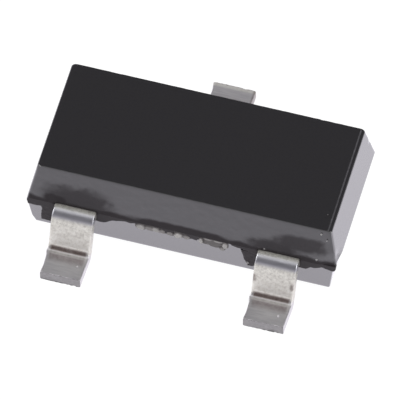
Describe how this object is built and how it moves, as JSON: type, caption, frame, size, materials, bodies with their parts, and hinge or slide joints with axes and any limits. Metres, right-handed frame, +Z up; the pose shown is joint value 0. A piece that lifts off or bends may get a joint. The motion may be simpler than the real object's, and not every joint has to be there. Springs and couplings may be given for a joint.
{
  "type": "sot-23 transistor",
  "caption": "Surface-mount transistor: a black moulded epoxy body on tinned gull-wing leads, with the die, its flag and the bond wires inside.",
  "frame": {"origin": "on the board plane under the middle of the package's overall box", "axes": "+X along the body's long side, from the base lead to the emitter lead; -Y towards the side with those two leads and +Y towards the collector lead; +Z up from the board"},
  "size_m": [0.0028, 0.0024, 0.0009],
  "materials": {
    "epoxy": "smooth moulded, semi-gloss black",
    "tinned_lead": "matte tin plate",
    "silicon": "polished silicon",
    "die_bond": "silver-filled epoxy",
    "gold_wire": "bright gold"
  },
  "bodies": {
    "root": {"moulded_body": "epoxy", "base_lead": "tinned_lead", "emitter_lead": "tinned_lead", "collector_lead": "tinned_lead", "die": "silicon", "die_attach": "die_bond", "base_bond_wire": "gold_wire", "emitter_bond_wire": "gold_wire"}
  },
  "joints": []
}
